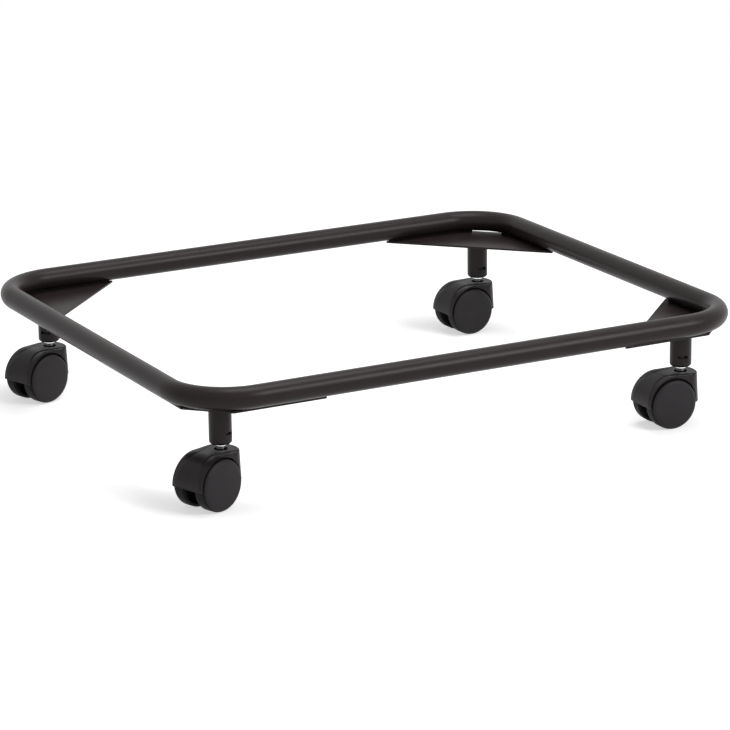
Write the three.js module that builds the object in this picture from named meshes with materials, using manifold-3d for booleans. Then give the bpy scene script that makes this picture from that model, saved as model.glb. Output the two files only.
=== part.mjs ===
// Plant pot caddy: a ring of bent steel tube with four corner plates that the pot stands on,
// carried by four twin-wheel castors.
// Millimetres, +Z up. The origin is on the floor under the middle of the ring, +X runs along
// the long side, and the front is -Y.
import * as THREE from "three";
import { mergeVertices } from "three/addons/utils/BufferGeometryUtils.js";
import Module from "manifold-3d";

// Ring of round tube, bent from one length and butt welded
const ringLength = 600;
const ringDepth = 500;
const ringTopHeight = 120.5;
const tubeDiameter = 21.3;
const tubeWall = 1.5;
const bendRadius = 58;
const ventDiameter = 4;

// Corner plates, their outer edges under the middle of the tube
const plateThickness = 2;
const plateLeg = 132;
const plateCornerCut = 36;
const plateRounding = 3;
const tipRounding = 1.5;
const weldRoot = 0.6;
const beadReach = 0.8;
const beadCover = 2;
const beadEase = 0.5;
const beadEnd = 2;

// Posts of tube, welded under the plates
const postInset = 41.35;
const postDiameter = 21.3;
const postWall = 1.5;
const postWeldLeg = 1.6;

// The wall of each post is cut across and pressed in below the cut, which grips the socket
const slotRise = 7.4;
const slotWidth = 10;
const slotOpening = 3;
const tongueLength = 5.5;
const tongueDepth = 1.3;

// Plastic sockets in the posts
const flangeThickness = 1.2;
const socketCover = 3.4;

// Castor stems
const pinDiameter = 8;
const neckDiameter = 8.5;
const neckShown = 5.5;
const collarDiameter = 10.4;
const collarThickness = 1.6;
const stemInHood = 30.4;
const stemChamfer = 0.8;
const grooveDepth = 0.8;

// Split rings: one snaps into the socket, one holds the hood on the stem
const ringWire = 1.2;
const gripRingDrop = 9.9;
const clipDrop = 18;
const clipReach = 1.8;
const gripRingReach = 1.6;

// Hoods, moulded in one piece; their own frame has the stem at 0,0 and the axle along Y
const axleOffset = 18;
const wheelRoom = 1;
const hoodRim = 1;
const hoodCrown = 1;
const skirtDrop = 1.4;
const hoodSkin = 2;
const treadCover = 2;
const hoodDraw = 1.2;
const noseRoom = 7;
const hoodNoseFlare = 1.6;
const hoodNoseLength = 14;
const hoodEdge = 1.3;
const crownReach = 18;
const stemBossDiameter = 14;
const stemBossLength = 33;
const axleBossDiameter = 15;
const axleBossHalfLength = 7;
const webThickness = 3;
const recessDiameter = 13;
const recessDepth = 3;
const ribThickness = 1.6;
const ribDrop = 4.5;

// Wheels and axles
const wheelDiameter = 50;
const treadWidth = 9.7;
const hubStand = 0.4;
const faceDome = 4.4;
const wheelEdgeRadius = 3.2;
const wheelFaceWall = 3.4;
const rimWall = 2.5;
const rimChamfer = 0.8;
const hubDiameter = 13;
const axleDiameter = 6;
const axleCover = 4.6;
const axleGrooveInset = 4.2;
const axleGrooveWidth = 1.4;
const axleGrooveDepth = 0.5;
const wheelRibThickness = 1.4;
const wheelRibInset = 2;

// Fits
const seatGap = 0.3;
const turningGap = 0.35;
const overrun = 3;
const mergeDistance = 1e-4;

// Numbers of sides and steps
const tubeSides = 20;
const boreSides = 8;
const bendSteps = 8;
const ventSides = 8;
const postSides = 20;
const stemSides = 12;
const bossSides = 16;
const axleSides = 8;
const wellSides = 28;
const wheelSides = 20;
const wheelRibs = 4;
const splitRingSteps = 9;
const noseSteps = 10;
const crownSteps = 4;
const roundingSteps = 2;
const wheelEdgeSteps = 2;

// Shares
const socketReachShare = 0.75;
const hoodArcShare = 0.66;
const splitRingGapShare = 0.14;
const faceDishShare = 0.94;

// How far each castor has swung and which way each post's cut looks, in degrees from +X
const corners = [
  { name: "front_left", sideX: -1, sideY: -1, swing: 200.3, cut: -60 },
  { name: "front_right", sideX: 1, sideY: -1, swing: 178.4, cut: -110 },
  { name: "back_left", sideX: -1, sideY: 1, swing: 199, cut: -134 },
  { name: "back_right", sideX: 1, sideY: 1, swing: 183, cut: -90 },
];

// Widths that follow from those above, from the castor's middle outwards
const hubInnerFace = axleBossHalfLength + seatGap;
const wheelInnerFace = hubInnerFace + hubStand;
const treadOuterFace = wheelInnerFace + treadWidth;
const wheelOuterFace = treadOuterFace + faceDome;
const axleHalfLength = wheelOuterFace - axleCover;
const axleGroovePlace = axleHalfLength - axleGrooveInset;
const hoodHalfWidth = treadOuterFace + treadCover;
const hoodTopHalfWidth = hoodHalfWidth - hoodDraw;

// Radii and heights that follow, from the wheels up to the hood
const wheelRadius = wheelDiameter / 2;
const wellRadius = wheelRadius + wheelRoom;
const hoodRadius = wellRadius + hoodRim;
const hoodNoseReach = wellRadius - axleOffset + noseRoom;
const hoodSkirtHeight = wheelRadius - skirtDrop;
const hoodTopHeight = wheelDiameter + wheelRoom + hoodCrown;
const stemFootHeight = hoodTopHeight - stemInHood;
const stemBossFootHeight = hoodTopHeight - stemBossLength;
const clipHeight = hoodTopHeight - clipDrop;

// Sizes of the ring, the plates and the posts that follow
const tubeRadius = tubeDiameter / 2;
const tubeMiddleHeight = ringTopHeight - tubeRadius;
const tubeMiddleX = ringLength / 2 - tubeRadius;
const tubeMiddleY = ringDepth / 2 - tubeRadius;
const plateTopHeight = tubeMiddleHeight - tubeRadius - weldRoot;
const plateFootHeight = plateTopHeight - plateThickness;
const postX = tubeMiddleX - postInset;
const postY = tubeMiddleY - postInset;
const postRadius = postDiameter / 2;
const postBoreRadius = postRadius - postWall;
const postFootHeight = hoodTopHeight + neckShown;
const postEndHeight = postFootHeight + flangeThickness + seatGap;
const postLength = plateFootHeight - seatGap - postEndHeight;
const slotHeight = postEndHeight + slotRise;
const socketRadius = postBoreRadius - seatGap;
const socketTopHeight = postEndHeight + postLength * socketReachShare;
const pinTopHeight = socketTopHeight - socketCover;
const gripRingHeight = socketTopHeight - gripRingDrop;
const pinRadius = pinDiameter / 2;
const neckRadius = neckDiameter / 2;
const axleRadius = axleDiameter / 2;
const ringBand = ringWire + seatGap * 2;

const wasm = await Module();
wasm.setup();

const materials = {
  steel: { color: 0x35302f, roughness: 0.55, metalness: 0.3 },
  plastic: { color: 0x302e2f, roughness: 0.6, metalness: 0 },
  wheel: { color: 0x343234, roughness: 0.5, metalness: 0 },
  chrome: { color: 0xd0d3d6, roughness: 0.2, metalness: 1 },
  spring: { color: 0x8a8c90, roughness: 0.35, metalness: 1 },
};

function radians(degrees) {
  return THREE.MathUtils.degToRad(degrees);
}

function named(name, geometry, finish) {
  const mesh = new THREE.Mesh(geometry, new THREE.MeshStandardMaterial(materials[finish]));
  mesh.name = name;
  return mesh;
}

// Keeps positions only, joins equal points, drops triangles without area and turns the faces out.
function tidied(geometry) {
  const bare = new THREE.BufferGeometry();
  bare.setAttribute("position", geometry.getAttribute("position").clone());
  if (geometry.index) bare.setIndex(geometry.index.clone());
  const joined = mergeVertices(bare, mergeDistance);
  const points = joined.getAttribute("position");
  const kept = [];
  let volume = 0;
  const a = new THREE.Vector3();
  const b = new THREE.Vector3();
  const c = new THREE.Vector3();
  for (let i = 0; i < joined.index.count; i += 3) {
    const [p, q, r] = [0, 1, 2].map((k) => joined.index.getX(i + k));
    if (p === q || q === r || r === p) continue;
    kept.push([p, q, r]);
    a.fromBufferAttribute(points, p);
    b.fromBufferAttribute(points, q);
    c.fromBufferAttribute(points, r);
    volume += a.dot(b.cross(c));
  }
  joined.setIndex(kept.map(([p, q, r]) => (volume < 0 ? [p, r, q] : [p, q, r])).flat());
  return joined;
}

function solidFrom(geometry) {
  const clean = tidied(geometry);
  return new wasm.Manifold(new wasm.Mesh({
    numProp: 3,
    vertProperties: new Float32Array(clean.getAttribute("position").array),
    triVerts: new Uint32Array(clean.index.array),
  }));
}

function geometryFrom(solid) {
  const mesh = solid.getMesh();
  const geometry = new THREE.BufferGeometry();
  geometry.setAttribute("position", new THREE.BufferAttribute(mesh.vertProperties, 3));
  geometry.setIndex(new THREE.BufferAttribute(mesh.triVerts, 1));
  return geometry;
}

// A profile of [radius, height] pairs turned about +Z. With flats the sides, not the corners,
// of the turned shape lie square to the axes.
function turned(profile, sides, flats = false) {
  const points = profile.map(([radius, height]) => new THREE.Vector2(radius, height));
  const start = flats ? Math.PI / sides : 0;
  const lathe = new THREE.LatheGeometry(points, sides, start, Math.PI * 2);
  lathe.rotateX(Math.PI / 2);
  return tidied(lathe);
}

function ringOf(profile, sides) {
  return turned([...profile, profile[0]], sides);
}

function cylinder(radius, low, high, sides) {
  return turned([[0, low], [radius, low], [radius, high], [0, high]], sides);
}

// A shape drawn in X and Z, given a width along Y about the middle plane.
function slabAcross(shape, width, curveSegments = 1) {
  const slab = new THREE.ExtrudeGeometry(shape, { depth: width, bevelEnabled: false, curveSegments });
  slab.translate(0, 0, -width / 2);
  slab.rotateX(Math.PI / 2);
  return slab;
}

function shapeOf(points) {
  return new THREE.Shape(points.map(([x, y]) => new THREE.Vector2(x, y)));
}

// Points of the ring's middle line in plan, each with the direction away from its bend.
function ringStations() {
  const stations = [];
  for (const [turn, sideX, sideY] of [[0, 1, 1], [1, -1, 1], [2, -1, -1], [3, 1, -1]]) {
    for (let step = 0; step <= bendSteps; step += 1) {
      const angle = (turn + step / bendSteps) * Math.PI / 2;
      const outward = [Math.cos(angle), Math.sin(angle)];
      const x = sideX * (tubeMiddleX - bendRadius) + bendRadius * outward[0];
      const y = sideY * (tubeMiddleY - bendRadius) + bendRadius * outward[1];
      stations.push({ x, y, outward });
    }
  }
  return stations;
}

// The closed skin of a round bar that follows the ring.
function ringSkin(radius, sides) {
  const stations = ringStations();
  const positions = [];
  for (const { x, y, outward } of stations) {
    for (let side = 0; side < sides; side += 1) {
      const angle = (side / sides) * Math.PI * 2;
      const reach = radius * Math.cos(angle);
      const rise = radius * Math.sin(angle);
      positions.push(x + reach * outward[0], y + reach * outward[1], tubeMiddleHeight + rise);
    }
  }
  const faces = [];
  stations.forEach((_, station) => {
    const next = (station + 1) % stations.length;
    for (let side = 0; side < sides; side += 1) {
      const after = (side + 1) % sides;
      const [a, b] = [station * sides + side, next * sides + side];
      const [c, d] = [next * sides + after, station * sides + after];
      faces.push(a, b, c, a, c, d);
    }
  });
  const skin = new THREE.BufferGeometry();
  skin.setAttribute("position", new THREE.Float32BufferAttribute(positions, 3));
  skin.setIndex(faces);
  return tidied(skin);
}

// The tube is hollow, with a vent under the middle of the back side, as coated tube has.
function tubeRing() {
  const tubeFoot = tubeMiddleHeight - tubeRadius;
  const vent = cylinder(ventDiameter / 2, tubeFoot - overrun, tubeFoot + tubeWall + overrun, ventSides);
  vent.translate(0, tubeMiddleY, 0);
  const ring = solidFrom(ringSkin(tubeRadius, tubeSides))
    .subtract(solidFrom(ringSkin(tubeRadius - tubeWall, boreSides)))
    .subtract(solidFrom(vent));
  return named("tube_ring", geometryFrom(ring), "steel");
}

function turnsLeft(points) {
  return THREE.ShapeUtils.area(points.map(([x, y]) => new THREE.Vector2(x, y))) > 0;
}

// A body between outlines of equal length, each point with its own height. The first outline is
// the foot. The top is closed by the given regions, which share their points with the last.
function lofted(layers, topRegions = [layers.at(-1)]) {
  const soup = [];
  const fill = (region, facingUp) => {
    const contour = region.map(([x, y]) => new THREE.Vector2(x, y));
    for (const indices of THREE.ShapeUtils.triangulateShape(contour, [])) {
      const triangle = indices.map((i) => region[i]);
      soup.push(...(turnsLeft(triangle) === facingUp ? triangle : triangle.reverse()));
    }
  };
  fill(layers[0], false);
  topRegions.forEach((region) => fill(region, true));
  const leftTurning = turnsLeft(layers[0]);
  for (let layer = 1; layer < layers.length; layer += 1) {
    layers[layer].forEach((_, i) => {
      const next = (i + 1) % layers[layer].length;
      const [a, b] = [layers[layer - 1][i], layers[layer - 1][next]];
      const [c, d] = [layers[layer][next], layers[layer][i]];
      soup.push(...(leftTurning ? [a, b, c, a, c, d] : [a, c, b, a, d, c]));
    });
  }
  const loft = new THREE.BufferGeometry();
  loft.setAttribute("position", new THREE.Float32BufferAttribute(soup.flat(), 3));
  return tidied(loft);
}

function atHeight(outline, height) {
  return outline.map(([x, y]) => [x, y, height]);
}

// Replaces a corner of an outline by an arc of the given radius.
function rounded(before, corner, after, radius, steps) {
  const middle = new THREE.Vector2(...corner);
  const towards = (point) => new THREE.Vector2(...point).sub(middle).normalize();
  const [one, other] = [towards(before), towards(after)];
  const half = Math.acos(one.dot(other)) / 2;
  const centre = one.clone().add(other).normalize().multiplyScalar(radius / Math.sin(half)).add(middle);
  const start = one.multiplyScalar(radius / Math.tan(half)).add(middle).sub(centre);
  const end = other.multiplyScalar(radius / Math.tan(half)).add(middle).sub(centre);
  const sweep = Math.atan2(start.cross(end), start.dot(end));
  return Array.from({ length: steps + 1 }, (_, step) => {
    const point = start.clone().rotateAround(new THREE.Vector2(), sweep * step / steps).add(centre);
    return [point.x, point.y];
  });
}

// The plate is a right triangle with its outer corner cut off. Weld beads on its two outer
// edges fill the root up to the tube. Each outline point says which way its bead swells.
function plateOutline() {
  const [farX, farY] = [tubeMiddleX - plateLeg, tubeMiddleY - plateLeg];
  const [nearX, nearY] = [tubeMiddleX - plateCornerCut, tubeMiddleY - plateCornerCut];
  const [tipX, cutX] = [[farX, tubeMiddleY], [nearX, tubeMiddleY]];
  const [tipY, cutY] = [[tubeMiddleX, farY], [tubeMiddleX, nearY]];
  const bare = (points) => points.map(([x, y]) => [x, y, 0, 0]);
  return [
    ...bare(rounded(tipY, tipX, cutX, tipRounding, roundingSteps)),
    [farX + plateRounding + beadEnd, tubeMiddleY, 0, 1],
    [nearX - beadEnd, tubeMiddleY, 0, 1],
    ...bare(rounded(tipX, cutX, cutY, plateRounding, roundingSteps)),
    ...bare(rounded(cutX, cutY, tipY, plateRounding, roundingSteps)),
    [tubeMiddleX, nearY - beadEnd, 1, 0],
    [tubeMiddleX, farY + plateRounding + beadEnd, 1, 0],
    ...bare(rounded(cutY, tipY, tipX, tipRounding, roundingSteps)),
  ];
}

// The seat is the part of the plate's top that nothing lies over.
function seatOutline() {
  const clear = tubeRadius + weldRoot;
  const bendClear = bendRadius - clear / 2;
  return [
    [tubeMiddleX - plateLeg + clear, tubeMiddleY - clear],
    [tubeMiddleX - bendClear, tubeMiddleY - clear],
    [tubeMiddleX - clear, tubeMiddleY - bendClear],
    [tubeMiddleX - clear, tubeMiddleY - plateLeg + clear],
  ];
}

function cornerPlate() {
  const seat = seatOutline();
  const outline = [...plateOutline(), [...seat[3], 0, 0], [...seat[0], 0, 0]];
  const beadTop = plateTopHeight + weldRoot - seatGap;
  const layer = (reach, bareHeight, beadHeight) => outline.map(([x, y, beadX, beadY]) => [
    x + reach * beadX, y + reach * beadY, beadX + beadY ? beadHeight : bareHeight,
  ]);
  const layers = [
    layer(0, plateFootHeight, plateFootHeight),
    layer(0, plateTopHeight, plateFootHeight + beadEase),
    layer(beadReach, plateTopHeight, plateTopHeight - beadEase),
    layer(beadReach - beadEase, plateTopHeight, beadTop),
    layer(-beadCover, plateTopHeight, beadTop),
    layer(-beadCover - beadEase, plateTopHeight, plateTopHeight),
  ];
  const edge = layers.at(-1);
  const [inner0, inner1, inner2, inner3] = atHeight(seat, plateTopHeight);
  const aroundSeat = [...edge.slice(0, -2), inner3, inner2, inner1, inner0];
  return lofted(layers, [[inner0, inner1, inner2, inner3], aroundSeat]);
}

// A post stands on the castor's socket and flares into its weld under the plate.
function postTube() {
  const top = plateFootHeight - seatGap;
  return ringOf([
    [postBoreRadius, postEndHeight],
    [postRadius, postEndHeight],
    [postRadius, top - postWeldLeg],
    [postRadius + postWeldLeg, top],
    [postBoreRadius, top],
  ], postSides);
}

// The cut through the wall and the wedge of wall that is pressed in below it.
function postWithCut() {
  const outside = postRadius + overrun;
  const pressedOutside = postRadius - tongueDepth;
  const pressedInside = postBoreRadius - tongueDepth;
  const tongueFoot = slotHeight - tongueLength;
  const slot = shapeOf([
    [pressedInside - seatGap, slotHeight], [outside, slotHeight],
    [outside, slotHeight + slotOpening], [pressedInside - seatGap, slotHeight + slotOpening],
  ]);
  const dent = shapeOf([
    [postRadius, tongueFoot], [outside, tongueFoot], [outside, slotHeight], [pressedOutside, slotHeight],
  ]);
  const tongue = shapeOf([
    [postBoreRadius, tongueFoot], [postRadius, tongueFoot],
    [pressedOutside, slotHeight], [pressedInside, slotHeight],
  ]);
  const wall = solidFrom(postTube());
  const round = solidFrom(cylinder(postRadius, postFootHeight, postEndHeight + postLength, postSides));
  return wall
    .add(solidFrom(slabAcross(tongue, slotWidth)).intersect(round))
    .subtract(solidFrom(slabAcross(slot, slotWidth)))
    .subtract(solidFrom(slabAcross(dent, slotWidth)));
}

function post({ name, cut }, solid) {
  const geometry = geometryFrom(solid);
  geometry.rotateZ(radians(cut));
  return named(`post_${name}`, geometry, "steel");
}

// The socket has a flange under the post, a waist for the pressed tongue and, in its bore, a
// groove that the stem's grip ring snaps into.
function socket() {
  const waist = postBoreRadius - tongueDepth - seatGap;
  const bore = pinRadius + turningGap;
  const groove = pinRadius + gripRingReach - grooveDepth + turningGap;
  const flange = postRadius - seatGap;
  return ringOf([
    [bore, postFootHeight],
    [flange, postFootHeight],
    [flange, postFootHeight + flangeThickness],
    [socketRadius, postFootHeight + flangeThickness],
    [waist, slotHeight - tongueLength - seatGap],
    [waist, slotHeight + slotOpening],
    [socketRadius, slotHeight + slotOpening + seatGap],
    [socketRadius, socketTopHeight],
    [bore, socketTopHeight],
    [bore, gripRingHeight + ringBand],
    [groove, gripRingHeight + ringBand],
    [groove, gripRingHeight],
    [bore, gripRingHeight],
  ], stemSides);
}

// The stem stands still in the socket, and the hood turns on it.
function stem() {
  const collarTop = postFootHeight - seatGap;
  const collarFoot = collarTop - collarThickness;
  return turned([
    [0, stemFootHeight],
    [neckRadius, stemFootHeight],
    [neckRadius, clipHeight],
    [neckRadius - grooveDepth, clipHeight],
    [neckRadius - grooveDepth, clipHeight + ringBand],
    [neckRadius, clipHeight + ringBand],
    [neckRadius, collarFoot],
    [collarDiameter / 2, collarFoot],
    [collarDiameter / 2, collarTop],
    [pinRadius, collarTop],
    [pinRadius, gripRingHeight],
    [pinRadius - grooveDepth, gripRingHeight],
    [pinRadius - grooveDepth, gripRingHeight + ringBand],
    [pinRadius, gripRingHeight + ringBand],
    [pinRadius, pinTopHeight - stemChamfer],
    [pinRadius - stemChamfer, pinTopHeight],
    [0, pinTopHeight],
  ], stemSides);
}

// A split ring of square wire that lies in a groove.
function splitRing(innerRadius, reach, height) {
  const gap = splitRingGapShare * Math.PI;
  const arc = (radius) => Array.from({ length: splitRingSteps + 1 }, (_, step) => {
    const angle = gap + (2 * Math.PI - 2 * gap) * step / splitRingSteps;
    return [radius * Math.cos(angle), radius * Math.sin(angle)];
  });
  const outline = [...arc(innerRadius), ...arc(innerRadius + reach).reverse()];
  return lofted([atHeight(outline, height), atHeight(outline, height + ringWire)]);
}

function gripRing() {
  return splitRing(pinRadius - grooveDepth + seatGap, gripRingReach - seatGap, gripRingHeight + seatGap);
}

function stemClip() {
  return splitRing(neckRadius - grooveDepth + seatGap, clipReach, clipHeight + seatGap);
}

// The hood seen from the side: round over the wheels, flat on top. The inset moves it inwards
// and the drop lengthens it downwards.
function hoodSide(inset, drop) {
  const radius = hoodRadius - inset;
  const top = hoodTopHeight - inset;
  const foot = hoodSkirtHeight - drop;
  const angle = hoodArcShare * Math.PI / 2;
  const arcEnd = [axleOffset + radius * Math.cos(angle), wheelRadius + radius * Math.sin(angle)];
  const bend = arcEnd[0] - (top - arcEnd[1]) * Math.tan(angle);
  const shape = new THREE.Shape();
  shape.moveTo(-hoodNoseReach * 2, foot);
  shape.lineTo(axleOffset + radius, foot);
  shape.absarc(axleOffset, wheelRadius, radius, 0, angle, false);
  shape.quadraticCurveTo(bend, top, crownReach, top);
  shape.lineTo(-hoodNoseReach * 2, top);
  return shape;
}

// The hood seen from above: an oval nose and parallel sides that run past the tail.
function hoodPlan(halfWidth, nose, height) {
  const outline = [];
  for (let step = 0; step <= noseSteps; step += 1) {
    const angle = Math.PI * (step / noseSteps - 1 / 2);
    const along = hoodNoseLength * (1 - Math.cos(angle)) - nose;
    outline.push([along, halfWidth * Math.sin(angle), height]);
  }
  outline.push([hoodRadius * 2, halfWidth, height], [hoodRadius * 2, -halfWidth, height]);
  return outline;
}

// The space inside the hood's plan, flared to the skirt and eased along the top.
function hoodWalls(inset) {
  const nose = hoodNoseReach - inset;
  const topHalfWidth = hoodTopHalfWidth - inset;
  return solidFrom(lofted([
    hoodPlan(hoodHalfWidth - inset, nose + hoodNoseFlare, hoodSkirtHeight - overrun),
    hoodPlan(topHalfWidth, nose, hoodTopHeight - hoodEdge),
    hoodPlan(topHalfWidth - hoodEdge, nose - hoodEdge, hoodTopHeight),
  ]));
}

function acrossSolid(radius, halfWidth, sides) {
  const bar = cylinder(radius, -halfWidth, halfWidth, sides);
  bar.rotateX(Math.PI / 2);
  bar.translate(axleOffset, 0, wheelRadius);
  return solidFrom(bar);
}

// The room for both wheels, on each side of the middle web.
function wheelWells() {
  const sideWell = (side) => {
    const well = cylinder(wellRadius, 0, hoodRadius, wellSides);
    well.rotateX(-side * Math.PI / 2);
    well.translate(axleOffset, side * hubInnerFace, wheelRadius);
    return solidFrom(well);
  };
  return sideWell(1).add(sideWell(-1));
}

// The web that joins the stem's boss to the axle's boss and to the hood's crown.
function middleWeb() {
  const boss = stemBossDiameter / 2;
  const axleFoot = wheelRadius - axleBossDiameter / 2;
  const limits = shapeOf([
    [-boss / 2, stemBossFootHeight + boss / 2],
    [axleOffset, axleFoot + webThickness],
    [axleOffset + axleBossDiameter / 2, wheelRadius],
    [axleOffset + axleBossDiameter, hoodTopHeight],
    [-boss / 2, hoodTopHeight],
  ]);
  const crown = solidFrom(slabAcross(hoodSide(hoodSkin / 2, overrun * 2), webThickness * 2, crownSteps));
  return solidFrom(slabAcross(limits, webThickness)).intersect(crown);
}

// Ribs from the stem's boss to both side walls, under the crown.
function crossRib() {
  const rib = new THREE.BoxGeometry(ribThickness, hoodTopHalfWidth * 2 - hoodSkin, ribDrop + hoodSkin);
  rib.translate(0, 0, hoodTopHeight - hoodSkin / 2 - (ribDrop + hoodSkin) / 2);
  return solidFrom(rib);
}

// The skin of the hood, of even wall between the wheels and thinner over them.
function hoodShell() {
  const outside = solidFrom(slabAcross(hoodSide(0, 0), hoodHalfWidth * 4, crownSteps));
  const inside = solidFrom(slabAcross(hoodSide(hoodSkin, overrun), hoodHalfWidth * 4, crownSteps));
  return outside
    .intersect(hoodWalls(0))
    .subtract(inside.intersect(hoodWalls(hoodSkin)))
    .add(crossRib())
    .subtract(wheelWells());
}

// The hood is one moulding: the skin with a well for each wheel, bosses for stem and axle, and
// the web between them.
function hood() {
  const bossTop = hoodTopHeight - hoodSkin / 2;
  const bore = neckRadius + turningGap;
  const clipRoom = neckRadius - grooveDepth + clipReach + seatGap * 2;
  const recessFoot = hoodTopHeight - recessDepth;
  const recess = cylinder(recessDiameter / 2, recessFoot, hoodTopHeight + overrun, bossSides);
  return hoodShell()
    .add(solidFrom(cylinder(stemBossDiameter / 2, stemBossFootHeight, bossTop, bossSides)))
    .add(acrossSolid(axleBossDiameter / 2, axleBossHalfLength, bossSides))
    .add(middleWeb())
    .subtract(solidFrom(cylinder(bore, stemFootHeight - seatGap, hoodTopHeight, stemSides)))
    .subtract(solidFrom(cylinder(clipRoom, clipHeight, clipHeight + ringBand, stemSides)))
    .subtract(solidFrom(recess))
    .subtract(acrossSolid(axleRadius + seatGap, hoodHalfWidth, axleSides));
}

// The axle has a groove near each end, where the hubs snap on.
function axle() {
  const half = [
    [axleRadius, axleGroovePlace],
    [axleRadius - axleGrooveDepth, axleGroovePlace],
    [axleRadius - axleGrooveDepth, axleGroovePlace + axleGrooveWidth],
    [axleRadius, axleGroovePlace + axleGrooveWidth],
    [axleRadius, axleHalfLength - axleGrooveDepth],
    [axleRadius - axleGrooveDepth, axleHalfLength],
    [0, axleHalfLength],
  ];
  const other = half.map(([radius, place]) => [radius, -place]).reverse();
  return turned([...other, ...half], axleSides);
}

// A wheel has a domed face, a tread with eased edges and, inside, a hub with a blind bore.
// Its own axis is Z, and the face looks to +Z. The treads stand on flats.
function wheelShell() {
  const tread = wheelRadius / Math.cos(Math.PI / wheelSides);
  const faceInside = wheelOuterFace - wheelFaceWall;
  const shoulder = treadOuterFace + wheelEdgeRadius;
  const wheelEdge = Array.from({ length: wheelEdgeSteps + 1 }, (_, step) => {
    const angle = (step / wheelEdgeSteps) * Math.PI / 2;
    return [wheelEdgeRadius * (1 - Math.cos(angle)), wheelEdgeRadius * Math.sin(angle)];
  });
  return turned([
    [0, faceInside],
    [wheelRadius - rimWall, faceInside - wheelFaceWall / 2],
    [wheelRadius - rimWall, wheelInnerFace],
    [tread - rimChamfer, wheelInnerFace],
    [tread, wheelInnerFace + rimChamfer],
    ...wheelEdge.map(([inwards, outwards]) => [tread - inwards, treadOuterFace + outwards]),
    [wheelRadius * faceDishShare / 2, wheelOuterFace - (wheelOuterFace - shoulder) / 4],
    [0, wheelOuterFace],
  ], wheelSides, true);
}

function wheelHub() {
  const hubTop = wheelOuterFace - wheelFaceWall / 2;
  return cylinder(hubDiameter / 2, hubInnerFace, hubTop, stemSides);
}

function wheel() {
  const low = wheelInnerFace + wheelRibInset;
  const high = wheelOuterFace - wheelFaceWall;
  const inner = hubDiameter / 2 - wheelRibThickness;
  const outer = wheelRadius - rimWall / 2;
  const bore = cylinder(axleRadius + turningGap, hubInnerFace - overrun, axleHalfLength + seatGap, axleSides);
  let solid = solidFrom(wheelShell()).add(solidFrom(wheelHub()));
  for (let rib = 0; rib < wheelRibs; rib += 1) {
    const plate = new THREE.BoxGeometry(outer - inner, wheelRibThickness, high - low);
    plate.translate((outer + inner) / 2, 0, (high + low) / 2);
    plate.rotateZ((rib / wheelRibs) * Math.PI * 2);
    solid = solid.add(solidFrom(plate));
  }
  return solid.subtract(solidFrom(bore));
}

const postSolid = postWithCut();
const hoodSolid = hood();
const wheelSolid = wheel();

function castor({ name, swing }) {
  const group = new THREE.Group();
  group.rotation.z = radians(swing);
  const axleMesh = named(`axle_${name}`, axle(), "chrome");
  axleMesh.position.set(axleOffset, 0, wheelRadius);
  axleMesh.rotation.x = Math.PI / 2;
  group.add(named(`hood_${name}`, geometryFrom(hoodSolid), "plastic"), axleMesh);
  group.add(named(`stem_clip_${name}`, stemClip(), "spring"));
  for (const [side, label] of [[1, "a"], [-1, "b"]]) {
    const mesh = named(`wheel_${label}_${name}`, geometryFrom(wheelSolid), "wheel");
    mesh.position.set(axleOffset, 0, wheelRadius);
    mesh.rotation.x = -side * Math.PI / 2;
    group.add(mesh);
  }
  return group;
}

// The same plate is turned over in plan for each corner.
function plateAt({ name, sideX, sideY }) {
  const geometry = cornerPlate();
  geometry.scale(sideX, sideY, 1);
  return named(`corner_plate_${name}`, tidied(geometry), "steel");
}

function cornerOf(corner) {
  const group = new THREE.Group();
  group.position.set(corner.sideX * postX, corner.sideY * postY, 0);
  group.add(post(corner, postSolid));
  group.add(named(`socket_${corner.name}`, socket(), "plastic"));
  group.add(named(`stem_${corner.name}`, stem(), "chrome"));
  group.add(named(`grip_ring_${corner.name}`, gripRing(), "spring"));
  group.add(castor(corner));
  return group;
}

const caddy = new THREE.Group();
caddy.add(tubeRing());
for (const corner of corners) {
  caddy.add(plateAt(corner), cornerOf(corner));
}

export default caddy;
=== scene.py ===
"""The looks of a plant pot caddy: a ring of bent, powder-coated tube with corner plates, on
posts that carry hooded twin-wheel castors. Lengths are in millimetres until a mesh is made."""

import math

import bmesh
import bpy
import numpy as np
from mathutils import Matrix, Vector


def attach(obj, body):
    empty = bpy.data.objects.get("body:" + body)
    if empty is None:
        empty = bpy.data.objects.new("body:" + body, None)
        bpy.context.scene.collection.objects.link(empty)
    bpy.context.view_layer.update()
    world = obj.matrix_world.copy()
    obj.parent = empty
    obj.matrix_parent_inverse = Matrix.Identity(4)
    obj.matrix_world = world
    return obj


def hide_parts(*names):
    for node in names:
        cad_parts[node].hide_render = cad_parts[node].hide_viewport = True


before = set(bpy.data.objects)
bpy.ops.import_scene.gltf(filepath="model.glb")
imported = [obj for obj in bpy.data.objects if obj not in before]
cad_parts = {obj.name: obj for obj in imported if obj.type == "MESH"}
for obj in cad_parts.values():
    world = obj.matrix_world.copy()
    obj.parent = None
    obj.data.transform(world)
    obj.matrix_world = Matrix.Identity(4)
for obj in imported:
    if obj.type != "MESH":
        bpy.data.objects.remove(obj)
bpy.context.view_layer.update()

MM = 0.001

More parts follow.
